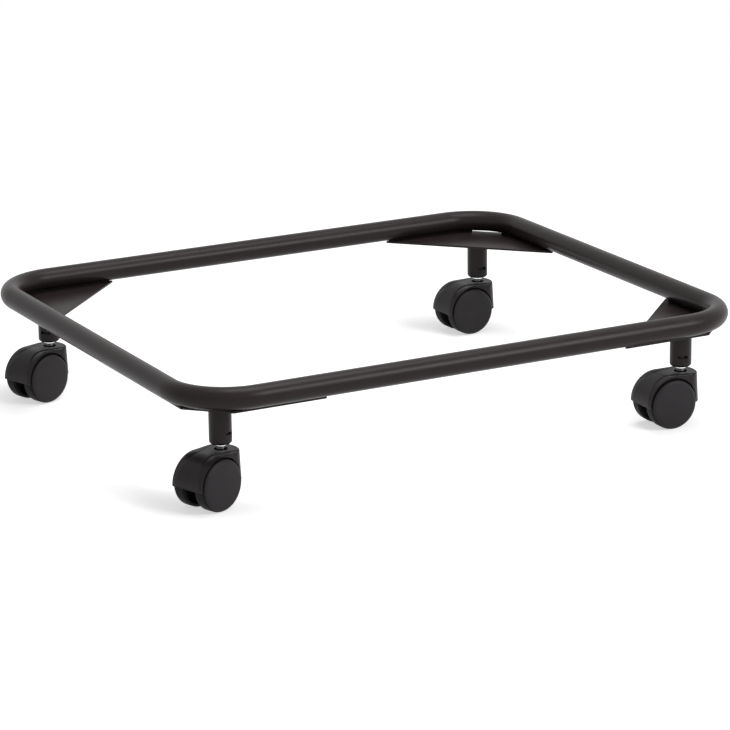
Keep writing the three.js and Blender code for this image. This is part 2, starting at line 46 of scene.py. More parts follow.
# Sizes of the caddy, as its solids have them
ring_half_length, ring_half_depth = 289.35, 239.35
tube_radius, tube_height = 10.65, 109.85
bend_radius, bend_flattening = 58.0, 0.018
vent_radius = 2.0
plate_top, plate_foot = 98.6, 96.6
plate_leg, plate_cut = 132.0, 36.0
plate_rounding, tip_rounding = 3.0, 1.5
post_x, post_y = 248.0, 198.0
post_radius, post_bore = 10.65, 9.15
post_end, flange_foot = 59.0, 57.5
slot_height, slot_width, slot_opening = 66.4, 10.0, 3.0
tongue_length, tongue_depth = 5.5, 1.3
axle_offset, axle_radius = 18.0, 3.0
wheel_radius, well_radius, hood_radius = 25.0, 26.0, 27.0
hood_skirt, hood_skin = 23.6, 2.0
hood_half_width, hood_draw = 19.4, 1.2
lean_foot, lean_top = 20.6, 50.7
oval_middle, nose_reach, nose_flare = -1.0, 14.0, 1.6
hub_face, hub_radius, wheel_bore = 7.3, 6.5, 3.3

# Sizes of the welds, and the radius past which the wheel's finish turns to painted shade on its
# shoulder
bead_radius, bead_tip_gap, bead_inset = 1.1, 5.0, 0.5
front_bead_past_bend, side_bead_past_bend = 31.0, 26.5
post_weld_radius = 1.55
tread_start = 23.9

# The light of the room and of the floor, the floor's half size and the height that the lamps
# look at in metres, and each lamp: its name, its size in metres, its power and its place
room_light, floor_glow = 0.30, 0.56
floor_half, lamp_aim = 1.3, 0.06
lamps = [
    ("overhead", 1.5, 31.0, (0.35, -0.1, 2.4)),
    ("key", 1.2, 40.0, (1.35, -2.3, 1.6)),
]

# Each corner: its name, its side in X and Y, how far the castor has swung, where the cut looks
corners = [
    ("front_left", -1, -1, 200.3, -60.0),
    ("front_right", 1, -1, 178.4, -110.0),
    ("back_left", -1, 1, 199.0, -134.0),
    ("back_right", 1, 1, 183.0, -90.0),
]


def photo_camera():
    """The photograph's own view: a long lens from the front left, a little above the ring. Its
    place and its turn were fitted to the outlines in the photograph."""
    data = bpy.data.cameras.new("photo_view")
    data.lens = 168.55
    data.sensor_width = 36.0
    data.clip_end = 50.0
    camera = bpy.data.objects.new("photo_view", data)
    bpy.context.scene.collection.objects.link(camera)
    forward = Vector((0.44889, 0.84882, -0.27932))
    level = Vector((0.88400, -0.46749, 0.0))
    upright = Vector((0.13058, 0.24692, 0.96020))
    roll = math.radians(-0.7438)
    right = math.cos(roll) * level + math.sin(roll) * upright
    up = math.cos(roll) * upright - math.sin(roll) * level
    turn = Matrix((right, up, -forward)).transposed().to_4x4()
    place = Vector((-1.51392, -2.87383, 0.98936))
    camera.matrix_world = Matrix.Translation(place) @ turn
    bpy.context.scene.camera = camera


photo_camera()


class Value:
    """A number or colour that varies over a surface. Arithmetic on it adds Math nodes."""

    def __init__(self, finish, socket):
        self.finish = finish
        self.socket = socket

    def math(self, operation, *others):
        return self.finish.node(
            "ShaderNodeMath", {"operation": operation}, dict(enumerate((self, *others))))

    def __add__(self, other):
        return self.math("ADD", other)

    def __sub__(self, other):
        return self.math("SUBTRACT", other)

    def __mul__(self, other):
        return self.math("MULTIPLY", other)

    def __rsub__(self, other):
        return self.finish.node("ShaderNodeMath", {"operation": "SUBTRACT"}, {0: other, 1: self})

    __radd__ = __add__
    __rmul__ = __mul__


class Finish:
    """A material made of nodes around one Principled shader."""

    def __init__(self, name):
        self.material = bpy.data.materials.new(name)
        self.material.use_nodes = True
        self.tree = self.material.node_tree
        self.shader = next(n for n in self.tree.nodes if n.type == "BSDF_PRINCIPLED")

    def node(self, kind, settings=None, sockets=None, out=0):
        """Adds one node: its settings first, then the values or links of its sockets."""
        made = self.tree.nodes.new(kind)
        for name, value in (settings or {}).items():
            if name == "stops":
                ramp = made.color_ramp.elements
                while len(ramp) < len(value):
                    ramp.new(1.0)
                for stop, (position, level) in zip(ramp, value):
                    stop.position = position
                    stop.color = (level, level, level, 1.0)
            else:
                setattr(made, name, value)
        for name, value in (sockets or {}).items():
            if isinstance(value, Value):
                self.tree.links.new(value.socket, made.inputs[name])
            else:
                made.inputs[name].default_value = value
        return Value(self, made.outputs[out])

    def place(self):
        """Where a point lies on its own piece."""
        return self.node("ShaderNodeTexCoord", out="Object")

    def noise(self, size_mm, detail=2.0, roughness=0.5, stretch=None):
        """Noise whose features are about size_mm across, stretched along an axis if asked."""
        where = self.place()
        if stretch:
            where = self.node("ShaderNodeMapping", sockets={"Vector": where, "Scale": stretch})
        return self.node("ShaderNodeTexNoise", sockets={
            "Vector": where, "Scale": 1.0 / (size_mm * MM),
            "Detail": detail, "Roughness": roughness})

    def ramp(self, value, *stops):
        """A grey level for a value, from stops of position and level."""
        return self.node("ShaderNodeValToRGB", {"stops": stops}, {"Fac": value})

    def mix(self, share, first, second):
        """A colour between two, where a share of one gives the second."""
        return self.node(
            "ShaderNodeMix", {"data_type": "RGBA"},
            {"Factor": share, "A": (*first, 1.0), "B": (*second, 1.0)}, out="Result")

    def bump(self, height, strength, distance_mm):
        """A normal for small relief of the given depth."""
        return self.node("ShaderNodeBump", sockets={
            "Height": height, "Strength": strength, "Distance": distance_mm * MM})

    def set(self, **sockets):
        """Sets the shader's inputs by name and gives the finished material."""
        for name, value in sockets.items():
            socket = self.shader.inputs[name.replace("_", " ")]
            if isinstance(value, Value):
                self.tree.links.new(value.socket, socket)
            else:
                socket.default_value = value
        return self.material


def powder_coat():
    """Satin black powder coat: an orange-peel skin, faint mottling and a fine dry speckle."""
    coat = Finish("powder_coat")
    mottle = coat.ramp(coat.noise(24.0, 3.0), (0.3, 0.0), (0.7, 1.0))
    speckle = coat.ramp(coat.noise(0.45, 1.0), (0.45, 0.0), (0.75, 1.0))
    peel = coat.noise(1.1, 2.0, 0.45)
    share = mottle * 0.7 + speckle * 0.3
    return coat.set(
        Base_Color=coat.mix(share, (0.0172, 0.0118, 0.0122), (0.0238, 0.0166, 0.0164)),
        Roughness=speckle * 0.10 + mottle * 0.05 + 0.29,
        Normal=coat.bump(peel + speckle * 0.25, 0.28, 0.12),
        Specular_IOR_Level=0.15,
    )


def weld_coat():
    """The same coat where it lies over a weld: rougher, with spatter under it."""
    coat = Finish("weld_coat")
    grain = coat.noise(0.8, 3.0, 0.6)
    patches = coat.ramp(coat.noise(5.0, 2.0), (0.35, 0.0), (0.7, 1.0))
    return coat.set(
        Base_Color=coat.mix(patches, (0.0180, 0.0135, 0.0136), (0.0250, 0.0185, 0.0180)),
        Roughness=grain * 0.15 + 0.42,
        Normal=coat.bump(grain, 0.45, 0.2),
        Specular_IOR_Level=0.18,
    )


def hood_plastic():
    """Black moulded plastic with a fine spark-eroded grain that scatters the light."""
    plastic = Finish("hood_plastic")
    grain = plastic.noise(0.32, 2.0, 0.6)
    cloud = plastic.ramp(plastic.noise(11.0, 2.0), (0.3, 0.0), (0.75, 1.0))
    return plastic.set(
        Base_Color=plastic.mix(cloud, (0.0108, 0.0080, 0.0084), (0.0148, 0.0112, 0.0114)),
        Roughness=grain * 0.12 + cloud * 0.04 + 0.33,
        Normal=plastic.bump(grain, 0.35, 0.06),
        Specular_IOR_Level=0.18,
    )


def wheel_plastic():
    """Smoother black plastic, with a fine grain and faint clouding."""
    plastic = Finish("wheel_plastic")
    grain = plastic.noise(0.5, 2.0, 0.5)
    cloud = plastic.ramp(plastic.noise(14.0, 3.0), (0.3, 0.0), (0.7, 1.0))
    return plastic.set(
        Base_Color=plastic.mix(cloud, (0.0160, 0.0138, 0.0156), (0.0212, 0.0185, 0.0205)),
        Roughness=grain * 0.10 + cloud * 0.06 + 0.44,
        Normal=plastic.bump(grain, 0.25, 0.06),
        Specular_IOR_Level=0.2,
    )


def tread_rubber():
    """Painted shade on the wheel's outer shoulder: a near-black band that stands for the shade in
    the gap under the hood's arch, with a faint real dust over it.
    """
    shaded_band = Finish("tread_rubber")
    grain = shaded_band.noise(0.7, 2.0, 0.5)
    dust = shaded_band.ramp(shaded_band.noise(9.0, 3.0), (0.4, 0.0), (0.8, 1.0))
    return shaded_band.set(
        # The near-black colours are painted shade for the shoulder under the hood's arch; the dust
        # noise between them is real.
        Base_Color=shaded_band.mix(dust, (0.0028, 0.0027, 0.0030), (0.0050, 0.0048, 0.0052)),
        Roughness=grain * 0.12 + dust * 0.08 + 0.45,
        Normal=shaded_band.bump(grain, 0.25, 0.06),
        Specular_IOR_Level=0.12,
    )


def socket_plastic():
    """Deep black plastic of the sockets, almost matt."""
    plastic = Finish("socket_plastic")
    grain = plastic.noise(0.6, 2.0, 0.5)
    return plastic.set(
        Base_Color=plastic.mix(grain, (0.006, 0.006, 0.0065), (0.010, 0.010, 0.0105)),
        Roughness=grain * 0.12 + 0.5,
        Normal=plastic.bump(grain, 0.25, 0.08),
        Specular_IOR_Level=0.3,
    )


def bright_plate():
    """Bright nickel plate over turned steel: fine rings round the stem under the plating."""
    metal = Finish("bright_plate")
    rings = metal.noise(0.6, 2.0, 0.5, stretch=(0.05, 0.05, 1.6))
    haze = metal.ramp(metal.noise(3.0, 2.0), (0.35, 0.0), (0.75, 1.0))
    return metal.set(
        Base_Color=metal.mix(haze, (0.80, 0.80, 0.80), (0.70, 0.71, 0.73)),
        Metallic=1.0,
        Roughness=haze * 0.08 + 0.10,
        Normal=metal.bump(rings, 0.12, 0.04),
    )


def spring_steel():
    """Drawn steel of rings and axles: grey, with long drawing marks."""
    metal = Finish("spring_steel")
    marks = metal.noise(0.8, 2.0, 0.6, stretch=(1.0, 0.2, 1.0))
    return metal.set(
        Base_Color=metal.mix(marks, (0.28, 0.28, 0.29), (0.42, 0.42, 0.43)),
        Metallic=1.0,
        Roughness=marks * 0.2 + 0.25,
        Normal=metal.bump(marks, 0.15, 0.05),
    )


finishes = {
    "coat": powder_coat(),
    "weld": weld_coat(),
    "hood": hood_plastic(),
    "wheel": wheel_plastic(),
    # The wheel shoulder's finish is painted shade, not a separate rubber.
    "tread": tread_rubber(),
    "socket": socket_plastic(),
    "bright": bright_plate(),
    "spring": spring_steel(),
}


def grid_faces(rows, columns, wrap_rows=False, wrap_columns=False):
    """Quads between neighbours of a grid of points, optionally joining its opposite edges."""
    i = np.arange(rows if wrap_rows else rows - 1)
    j = np.arange(columns if wrap_columns else columns - 1)
    i, j = np.meshgrid(i, j, indexing="ij")
    after_i, after_j = (i + 1) % rows, (j + 1) % columns
    quads = np.stack([
        i * columns + j, i * columns + after_j, after_i * columns + after_j, after_i * columns + j,
    ], axis=-1)
    return quads.reshape(-1, 4)


def skin(points, wrap_rows=False, wrap_columns=False):
    """One surface: its points as rows of a list, with the faces of its grid."""
    rows, columns = points.shape[:2]
    faces = grid_faces(rows, columns, wrap_rows, wrap_columns)
    return points.reshape(-1, 3), [tuple(face) for face in faces]


def joined(parts):
    """Several surfaces as one list of points and faces."""
    points, faces, start = [], [], 0
    for part_points, part_faces in parts:
        points.append(part_points)
        faces += [tuple(int(k) + start for k in face) for face in part_faces]
        start += len(part_points)
    return np.concatenate(points), faces


def mesh_of(name, parts):
    """A mesh from surfaces in millimetres. Equal points are merged, and each closed shell's
    faces are turned outwards."""
    points, faces = joined(parts)
    mesh = bpy.data.meshes.new(name)
    mesh.from_pydata((points * MM).tolist(), [], faces)
    work = bmesh.new()
    work.from_mesh(mesh)
    bmesh.ops.remove_doubles(work, verts=work.verts, dist=1e-7)
    bmesh.ops.dissolve_degenerate(work, edges=work.edges, dist=1e-8)
    bmesh.ops.recalc_face_normals(work, faces=work.faces)
    work.to_mesh(mesh)
    work.free()
    return mesh


def smooth(mesh, angle):
    """Shades a mesh smoothly, apart from edges that turn by more than the angle in degrees."""
    mesh.polygons.foreach_set("use_smooth", [True] * len(mesh.polygons))
    mesh.set_sharp_from_angle(angle=math.radians(angle))
    mesh.update()


def piece(name, mesh, finish, body, slot, *nodes, angle=32.0):
    """Puts a finished mesh in the scene, riding on its body in place of its solids."""
    made = bpy.data.objects.new(name, mesh)
    bpy.context.scene.collection.objects.link(made)
    smooth(mesh, angle)
    mesh.materials.clear()
    mesh.materials.append(finishes[finish])
    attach(made, body)
    if nodes:
        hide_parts(*nodes)


def eased(points, radii, steps=5):
    """A polyline whose inner corners become arcs. Each arc touches both sides at the radius
    divided by the tangent of half the corner's angle, and its points turn evenly about the
    arc's centre."""
    points = np.asarray(points, float)
    out = [points[:1]]
    for k in range(1, len(points) - 1):
        corner, radius = points[k], radii[k - 1]
        one = points[k - 1] - corner
        other = points[k + 1] - corner
        one, other = one / np.linalg.norm(one), other / np.linalg.norm(other)
        half = math.acos(np.clip(one @ other, -1, 1)) / 2
        if radius <= 0 or abs(half - math.pi / 2) < 1e-4:
            out.append(corner[None])
            continue
        middle = one + other
        centre = corner + middle / np.linalg.norm(middle) * radius / math.sin(half)
        start = corner + one * radius / math.tan(half) - centre
        end = corner + other * radius / math.tan(half) - centre
        sweep = math.atan2(start[0] * end[1] - start[1] * end[0], start @ end)
        a = np.linspace(0, sweep, steps + 1)[:, None]
        turn = np.hstack([
            start[0] * np.cos(a) - start[1] * np.sin(a),
            start[0] * np.sin(a) + start[1] * np.cos(a)])
        out.append(centre + turn)
    out.append(points[-1:])
    return np.concatenate(out)


def revolved(profile, sides, closed=False):
    """A profile of radius and height turned about Z: across, the radius times the cosine and the
    sine of the angle. A closed profile joins its last point to its first."""
    angle = np.arange(sides) * 2 * math.pi / sides
    radius, height = profile[:, 0:1], profile[:, 1:2]
    points = np.stack([
        radius * np.cos(angle), radius * np.sin(angle), height * np.ones(sides)], axis=-1)
    return skin(points, wrap_rows=closed, wrap_columns=True)


def plug(radius, low, high, sides):
    """A plain cylinder about Z, for cutting."""
    return revolved(np.array([(0, low), (radius, low), (radius, high), (0, high)]), sides)


def moved(part, turn_z=0.0, to=(0.0, 0.0, 0.0)):
    """Turns a surface's points about Z by degrees, then moves them."""
    points, faces = part
    a = math.radians(turn_z)
    turn = np.array([[math.cos(a), -math.sin(a), 0], [math.sin(a), math.cos(a), 0], [0, 0, 1]])
    return points @ turn.T + np.asarray(to, float), faces


def along_axle(part, side):
    """Lays a shape about Z on the axle: its height runs along +Y or -Y from the wheel's middle."""
    points, faces = part
    x, y, z = points.T
    return np.stack([x + axle_offset, side * z, side * -y + wheel_radius], axis=-1), faces


def ring_path(step=4.0, bend_steps=20):
    """The ring's middle line: four straights and four quarter circles. Gives each point, the
    direction out of the ring, and 1 inside a bend or 0 on a straight."""
    points, outward, bent = [], [], []
    for turn, (side_x, side_y) in enumerate([(1, 1), (-1, 1), (-1, -1), (1, -1)]):
        a = (turn + np.linspace(0, 1, bend_steps + 1)) * math.pi / 2
        out = np.stack([np.cos(a), np.sin(a)], axis=-1)
        centre = np.array([
            side_x * (ring_half_length - bend_radius), side_y * (ring_half_depth - bend_radius)])
        points.append(centre + bend_radius * out)
        outward.append(out)
        bent.append(np.sin(np.linspace(0, math.pi, bend_steps + 1)) ** 0.3)
        length = 2 * ((ring_half_length if turn % 2 == 0 else ring_half_depth) - bend_radius)
        count = int(length / step)
        along = np.array([-math.sin(a[-1]), math.cos(a[-1])])
        run = np.linspace(0, length, count + 1)[1:-1, None]
        points.append(points[-1][-1] + run * along)
        outward.append(np.repeat(out[-1:], count - 1, axis=0))
        bent.append(np.zeros(count - 1))
    return np.concatenate(points), np.concatenate(outward), np.concatenate(bent)


def tube_skin(radius, sides=48):
    """A round bar along the ring: each section is a circle in the upright plane square to the
    path, a little flatter across where the tube is bent."""
    points, outward, bent = ring_path()
    a = np.arange(sides) * 2 * math.pi / sides
    reach = radius * (1 - bend_flattening * bent)[:, None] * np.cos(a)
    rise = radius * np.sin(a) * np.ones((len(points), 1))
    shape = np.stack([
        points[:, 0:1] + reach * outward[:, 0:1],
        points[:, 1:2] + reach * outward[:, 1:2],
        tube_height + rise], axis=-1)
    return skin(shape, wrap_rows=True, wrap_columns=True)


def cut_with(mesh, cutters):
    """Takes each cutter's space out of a mesh, by exact booleans."""
    target = bpy.data.objects.new("work", mesh)
    bpy.context.scene.collection.objects.link(target)
    tools = []
    for cutter in cutters:
        tool = bpy.data.objects.new("tool", cutter)
        bpy.context.scene.collection.objects.link(tool)
        change = target.modifiers.new("cut", "BOOLEAN")
        change.operation = "DIFFERENCE"
        change.solver = "EXACT"
        change.object = tool
        tools.append(tool)
    ready = target.evaluated_get(bpy.context.evaluated_depsgraph_get())
    result = bpy.data.meshes.new_from_object(ready)
    for item in (*tools, target):
        bpy.data.objects.remove(item)
    return result


def tube_ring():
    """The ring's tube with the small vent hole under its back side."""
    vent = plug(vent_radius, -3, 3, 32)
    hole = moved(vent, to=(0, ring_half_depth, tube_height - tube_radius))
    tube = mesh_of("tube_ring_coated", [tube_skin(tube_radius)])
    mesh = cut_with(tube, [mesh_of("vent", [hole])])
    piece("tube_ring_coated", mesh, "coat", "frame", "coated_steel", "tube_ring")


def layered(outlines, heights):
    """A closed body between outlines of equal length at rising heights, capped flat."""
    outline_points = np.stack([
        np.column_stack([outline, np.full(len(outline), height)])
        for outline, height in zip(outlines, heights)])
    rows, columns = outline_points.shape[:2]
    points, faces = skin(outline_points, wrap_columns=True)
    faces.append(tuple(range(columns)))
    faces.append(tuple(range((rows - 1) * columns, rows * columns)))
    return points, faces


def plate_outline(inset):
    """The plate's corners in plan, moved inwards by the inset and rounded."""
    x, y, leg, cut = ring_half_length, ring_half_depth, plate_leg, plate_cut
    tip_slant, cut_slant = inset * (math.sqrt(2) + 1), inset * 0.414
    ends = [
        (x - leg + tip_slant, y - inset), (x - cut - cut_slant, y - inset),
        (x - inset, y - cut - cut_slant), (x - inset, y - leg + tip_slant),
    ]
    loop = [((ends[0][0] + ends[3][0]) / 2, (ends[0][1] + ends[3][1]) / 2), *ends]
    loop.append(loop[0])
    tip, corner = tip_rounding - inset * 0.5, plate_rounding - inset
    rounding = [tip, corner, corner, tip]
    return eased(loop, rounding, 6)[:-1]


def corner_plate(side_x, side_y):
    """A sheet with its edges eased by rounded insets at foot and top."""
    a = np.linspace(0, math.pi / 2, 4)
    ease = 0.35
    insets = np.concatenate([ease * (1 - np.sin(a)), ease * (1 - np.cos(a))])
    heights = np.concatenate([
        plate_foot + ease * (1 - np.cos(a)), plate_top - ease * (1 - np.sin(a))])
    points, faces = layered([plate_outline(inset) for inset in insets], heights)
    return points * (side_x, side_y, 1), faces


def weld_bead(length, radius, pitch=1.6, sides=20):
    """A bead along X from 0 to length: round sections whose radius swells and dips with each
    pass of the torch and closes in an ellipse at both ends."""
    end_turn, end_share, step = 0.35, 0.0305, 0.3
    run = np.concatenate([
        length / 2 * (1 - np.cos(np.linspace(0, end_turn, 8))),
        np.linspace(length * end_share, length * (1 - end_share), int(length / step)),
        length - length / 2 * (1 - np.cos(np.linspace(end_turn, 0, 8)))])
    near = np.minimum(run, length - run)
    close = np.sqrt(np.clip(1 - (1 - np.clip(near / (1.6 * radius), 0, 1)) ** 2, 0, 1))
    phase = run / pitch + 0.25 * np.sin(run * 0.9)
    dip = 0.08
    ripple = 1 - dip * np.abs(np.sin(math.pi * phase)) ** 0.6
    size = (radius * close * ripple)[:, None]
    a = np.arange(sides) * 2 * math.pi / sides
    lean = 0.35 * np.cos(a) * ripple[:, None]
    points = np.stack([
        run[:, None] + lean * close[:, None], size * np.cos(a), size * np.sin(a)], axis=-1)
    return skin(points, wrap_columns=True)


def leg_bead(along_x, side_x, side_y):
    """The bead in the root between a plate and the tube above it: straight along the plate's
    leg, then round the tube's bend, turned by the run past the straight over the bend's radius."""
    straight = plate_leg - bead_tip_gap - bend_radius
    past_bend = front_bead_past_bend if along_x else side_bead_past_bend
    points, faces = weld_bead(straight + past_bend, bead_radius)
    run, out, up = points.T
    past = run - straight
    turn = np.clip(past, 0, None) / bend_radius
    reach = bend_radius + out - bead_inset
    along = reach * np.sin(turn) + np.minimum(past, 0) - bend_radius
    across = reach * np.cos(turn) - bend_radius
    if along_x:
        x, y = ring_half_length + along, ring_half_depth + across
    else:
        x, y = ring_half_length + across, ring_half_depth + along
    return np.stack([side_x * x, side_y * y, plate_top + up * 0.8 + 0.1], axis=-1), faces


def walled(outer, inner, faces):
    """Closes a skin with its inner wall: the inner skin's faces look the other way, and every
    edge that only one face uses gets a face across the wall."""
    faces = np.asarray(faces)
    count = len(outer)
    edges = np.concatenate([faces[:, [k, (k + 1) % 4]] for k in range(4)])
    _, first, uses = np.unique(
        np.sort(edges, axis=1), axis=0, return_index=True, return_counts=True)
    a, b = edges[first[uses == 1]].T
    rim = np.stack([b, a, a + count, b + count], axis=-1)
    whole = np.concatenate([faces, faces[:, ::-1] + count, rim])
    return np.concatenate([outer, inner]), [tuple(face) for face in whole]


def slotted_post(cut):
    """The post's wall as a grid of height and angle, with a hole where the cut opens. Under the
    cut it is pressed in by the depth times the rise towards the cut and by one minus the
    square of the sideways place, each to a power that rounds it. The foot is eased."""
    half = slot_width / 2 / post_radius
    tongue_foot = slot_height - tongue_length
    cut_columns = 18
    angle = np.concatenate([
        np.linspace(-half, half, cut_columns + 1),
        np.linspace(half, 2 * math.pi - half, 56)[1:-1]])
    height = np.concatenate([
        post_end + np.array([0, 0.12, 0.4, 0.8]), np.linspace(tongue_foot, slot_height, 9),
        [slot_height + slot_opening / 2, slot_height + slot_opening],
        np.linspace(slot_height + slot_opening + 0.6, plate_foot, 12)])
    rise = np.clip((height - tongue_foot) / tongue_length, 0, 1)
    rise = np.where(height > slot_height + 0.01, 0, rise)[:, None]
    sideways = np.clip(1 - (np.where(angle > math.pi, 9, angle) / half) ** 2, 0, 1)
    pressed = tongue_depth * rise ** 1.4 * sideways ** 0.75
    edge_round = 0.4
    above = np.clip((height - post_end) / edge_round, 0, 1)
    ease = (edge_round * (1 - np.sqrt(1 - (1 - above) ** 2)))[:, None]
    turn = angle + math.radians(cut)

    def wall(radius):
        return np.stack([
            radius * np.cos(turn), radius * np.sin(turn), height[:, None] + 0 * turn], axis=-1)

    outer, faces = skin(wall(post_radius - ease - pressed), wrap_columns=True)
    inner, _ = skin(wall(post_bore + ease - pressed), wrap_columns=True)
    cut_row = int(np.argmin(np.abs(height - slot_height)))
    opened = {
        row * len(angle) + column
        for row in (cut_row, cut_row + 1) for column in range(cut_columns)}
    return walled(outer, inner, [face for face in faces if face[0] not in opened])


def post_weld():
    """The fillet weld round the post's head: a ring whose section is a small round, its radius
    rippling with the angle."""
    around, across, ripples, dip = 180, 16, 14, 0.10
    a = np.arange(around) * 2 * math.pi / around
    ripple = 1 - dip * np.abs(np.sin(a * ripples + 0.4 * np.sin(3 * a)))
    b = np.arange(across) * 2 * math.pi / across
    size = post_weld_radius * ripple[:, None]
    reach = post_radius + 0.1 + size * np.cos(b)
    rise = plate_foot - 0.35 + size * np.sin(b) * 0.85
    points = np.stack([reach * np.cos(a)[:, None], reach * np.sin(a)[:, None], rise], axis=-1)
    return skin(points, wrap_rows=True, wrap_columns=True)


def post(name, at, cut):
    """A post with the weld that holds it under its plate."""
    mesh = mesh_of(f"post_coated_{name}", [moved(slotted_post(cut), to=at)])
    piece(
        f"post_coated_{name}", mesh, "coat", "frame", "coated_steel", f"post_{name}", angle=40)
    weld = mesh_of(f"post_weld_{name}", [moved(post_weld(), to=at)])
    piece(f"post_weld_{name}", weld, "weld", "frame", "coated_steel", angle=60)


def socket(name, at):
    """The socket's section: a bore, a flange with a tapered rim, a waist and a sleeve."""
    bore, waist, sleeve, rim = 4.35, 7.5, 8.85, 10.4
    high, flange_top = 86.9, 58.75
    section = eased([
        (bore, 75), (bore, flange_foot), (8.9, flange_foot), (rim, flange_top),
        (sleeve, flange_top), (sleeve, 59.5), (waist, 60.6), (waist, 69.4), (sleeve, 69.9),
        (sleeve, high), (bore, high), (bore, 75)],
        (0.6, 0.5, 0.2, 0, 0, 0.4, 0.4, 0.4, 0.6, 0.6))[:-1]
    mesh = mesh_of(f"socket_moulded_{name}", [moved(revolved(section, 72, closed=True), to=at)])
    piece(
        f"socket_moulded_{name}", mesh, "socket", "frame", "socket_plastic", f"socket_{name}")


def stem(name, at):
    """The stem's section: a domed foot, the neck with the clip's groove, the collar, and the pin
    with the grip ring's groove."""
    neck, pin, foot, collar_foot, collar_top, top = 4.3, 4.0, 21.6, 55.3, 57.2, 83.5
    clip_root, clip_low, clip_high = 3.45, 34.0, 35.8
    grip_root, grip_low, grip_high = 3.2, 77.1, 78.9
    section = eased([
        (0, foot), (neck, foot), (neck, clip_low), (clip_root, clip_low),
        (clip_root, clip_high), (neck, clip_high), (neck, 50), (neck, collar_foot),
        (5.35, collar_foot), (5.15, collar_top), (pin, collar_top), (pin, grip_low),
        (grip_root, grip_low), (grip_root, grip_high), (pin, grip_high), (pin, top), (0, top)],
        (0.7, 0.15, 0.2, 0.2, 0.15, 0.4, 0.3, 0.3, 0.25, 0.2, 0.15, 0.2, 0.2, 0.15, 1.2))
    mesh = mesh_of(f"stem_plated_{name}", [moved(revolved(section, 72), to=at)])
    piece(f"stem_plated_{name}", mesh, "bright", "frame", "plated_steel", f"stem_{name}")


def roof_line(along, inset):
    """The height of the hood's roof over a place along it: a circle about the axle behind the
    axle, and level before it. The inset moves it inwards."""
    fall = np.clip(along - axle_offset, 0, hood_radius - inset)
    return wheel_radius + np.sqrt((hood_radius - inset) ** 2 - fall ** 2)


def roof_edge(drawn, groove):
    """The hood's section from the top of its wall to its roof, as rows of how far in and how far
    down. At the nose it is a small round. Where the edge is drawn in further it becomes a
    shoulder, falling gently from a shallow groove to the wall. The groove fades as asked."""
    nose = np.array([
        (0, 0.9), (0.03, 0.5), (0.12, 0.27), (0.25, 0.12), (0.4, 0.03), (0.6, 0), (0.9, 0),
        (1.2, 0), (1.6, 0), (2.0, 0)])
    share = np.clip((drawn - 0.8) / 3, 0, 1)[:, None]
    far = drawn[:, None] - np.array([0, 0, 0, 0, 1.5, 1.1, 0.7, 0.35, 0.05, -0.5])
    shoulder = np.where(np.arange(10) < 4, np.array([0, 0.1, 0.3, 0.7, 0, 0, 0, 0, 0, 0]), far)
    plain = np.array([0.9, 0.7, 0.56, 0.5, 0.3, 0.22, 0.16, 0.11, 0.04, 0])
    fall = plain + groove[:, None] * np.array([0, 0, 0, 0, 0.12, 0.4, 0.7, 0.5, 0.08, 0])
    return nose[:, 0] * (1 - share) + shoulder * share, nose[:, 1] * (1 - share) + fall * share


def hood_form(inset, foot, shouldered):
    """The hood as a closed body of ribs. Each starts at the foot on the plan's outline, climbs
    the wall, which leans inwards, crosses the roof's edge and runs to the middle line. The ribs
    fan out about the axle behind it. The plan is two straight sides and an oval nose. The
    drawn width is how far the roof's edge stands in: it grows up the tail with the square of
    the rise, shrinks along the level roof and ends in a small round at the nose."""
    theta = np.radians(np.linspace(0, 90, 50))
    level = np.linspace(axle_offset, oval_middle, 14)[1:]
    oval = np.linspace(math.pi / 2, 0, 30)[1:]
    radius = hood_radius - inset
    fan, flat = len(theta), len(level) + len(oval)
    straight = fan + len(level)
    ahead = np.concatenate([np.cos(theta), np.zeros(flat)])
    along = np.concatenate([
        np.full(fan, axle_offset), level, np.full(len(oval), oval_middle)])
    upward = np.concatenate([np.sin(theta), np.ones(flat)])
    nose = np.concatenate([np.zeros(straight), np.cos(oval)])
    wide = np.concatenate([np.ones(straight), np.sin(oval)])
    plan = along - nose_reach * nose
    drawn = np.where(plan > axle_offset - 0.01, 4.0 + 6.6 * upward ** 2, 5.5 + 0.286 * plan)
    drawn_at_nose = np.interp(nose, (0, 0.25, 0.4, 0.53, 0.6), (5.2, 3.9, 2.5, 0.8, 0.5))
    drawn = np.where(nose > 0, drawn_at_nose, drawn)
    groove_from, groove_over = 0.72, 0.25
    groove = np.clip((upward - groove_from) / groove_over, 0, 1)
    into, down = roof_edge(drawn if shouldered else np.full(len(plan), 0.5), groove)

    def wall(height, draw):
        """How far out and how far forward the leaning wall stands at a height."""
        lean = np.clip((height - lean_foot) / (lean_top - lean_foot), -0.2, 1)
        half = (hood_half_width - hood_draw * lean - inset - draw) * wide
        return half, (nose_reach + nose_flare - nose_flare * lean - inset - draw) * nose

    def rib_row(drop, draw, share=1.0):
        """One row of points: the drop is towards the axle, the share brings it to the middle."""
        reach = radius - drop
        height = wheel_radius + reach * upward
        half, forward = wall(height, draw)
        return np.stack([along + reach * ahead - forward, half * share, height], axis=-1)

    rows = []
    edge_reach, edge_height = radius - down[:, 0], rib_row(down[:, 0], into[:, 0])[:, 2]
    for share in np.linspace(0, 1, 8)[:-1]:
        height = foot + (edge_height - foot) * share
        half, forward = wall(height, 0)
        rows.append(np.stack([along + edge_reach * ahead - forward, half, height], axis=-1))
    rows += [rib_row(down[:, k], into[:, k]) for k in range(into.shape[1])]
    rows += [rib_row(0, into[:, -1], share) for share in np.linspace(1, 0, 10)[1:]]
    side = np.stack(rows, axis=1)
    other = side * (1, -1, 1)
    whole = np.concatenate([side, other[-2::-1]], axis=0)
    points, faces = skin(whole)
    columns = side.shape[1]
    count = len(whole)
    foot_loop = tuple(row * columns for row in range(count))
    far_side = (count - 1) * columns
    tail_loop = (*range(columns), *range(far_side + columns - 2, far_side - 1, -1))
    return points, faces + [foot_loop, tail_loop]


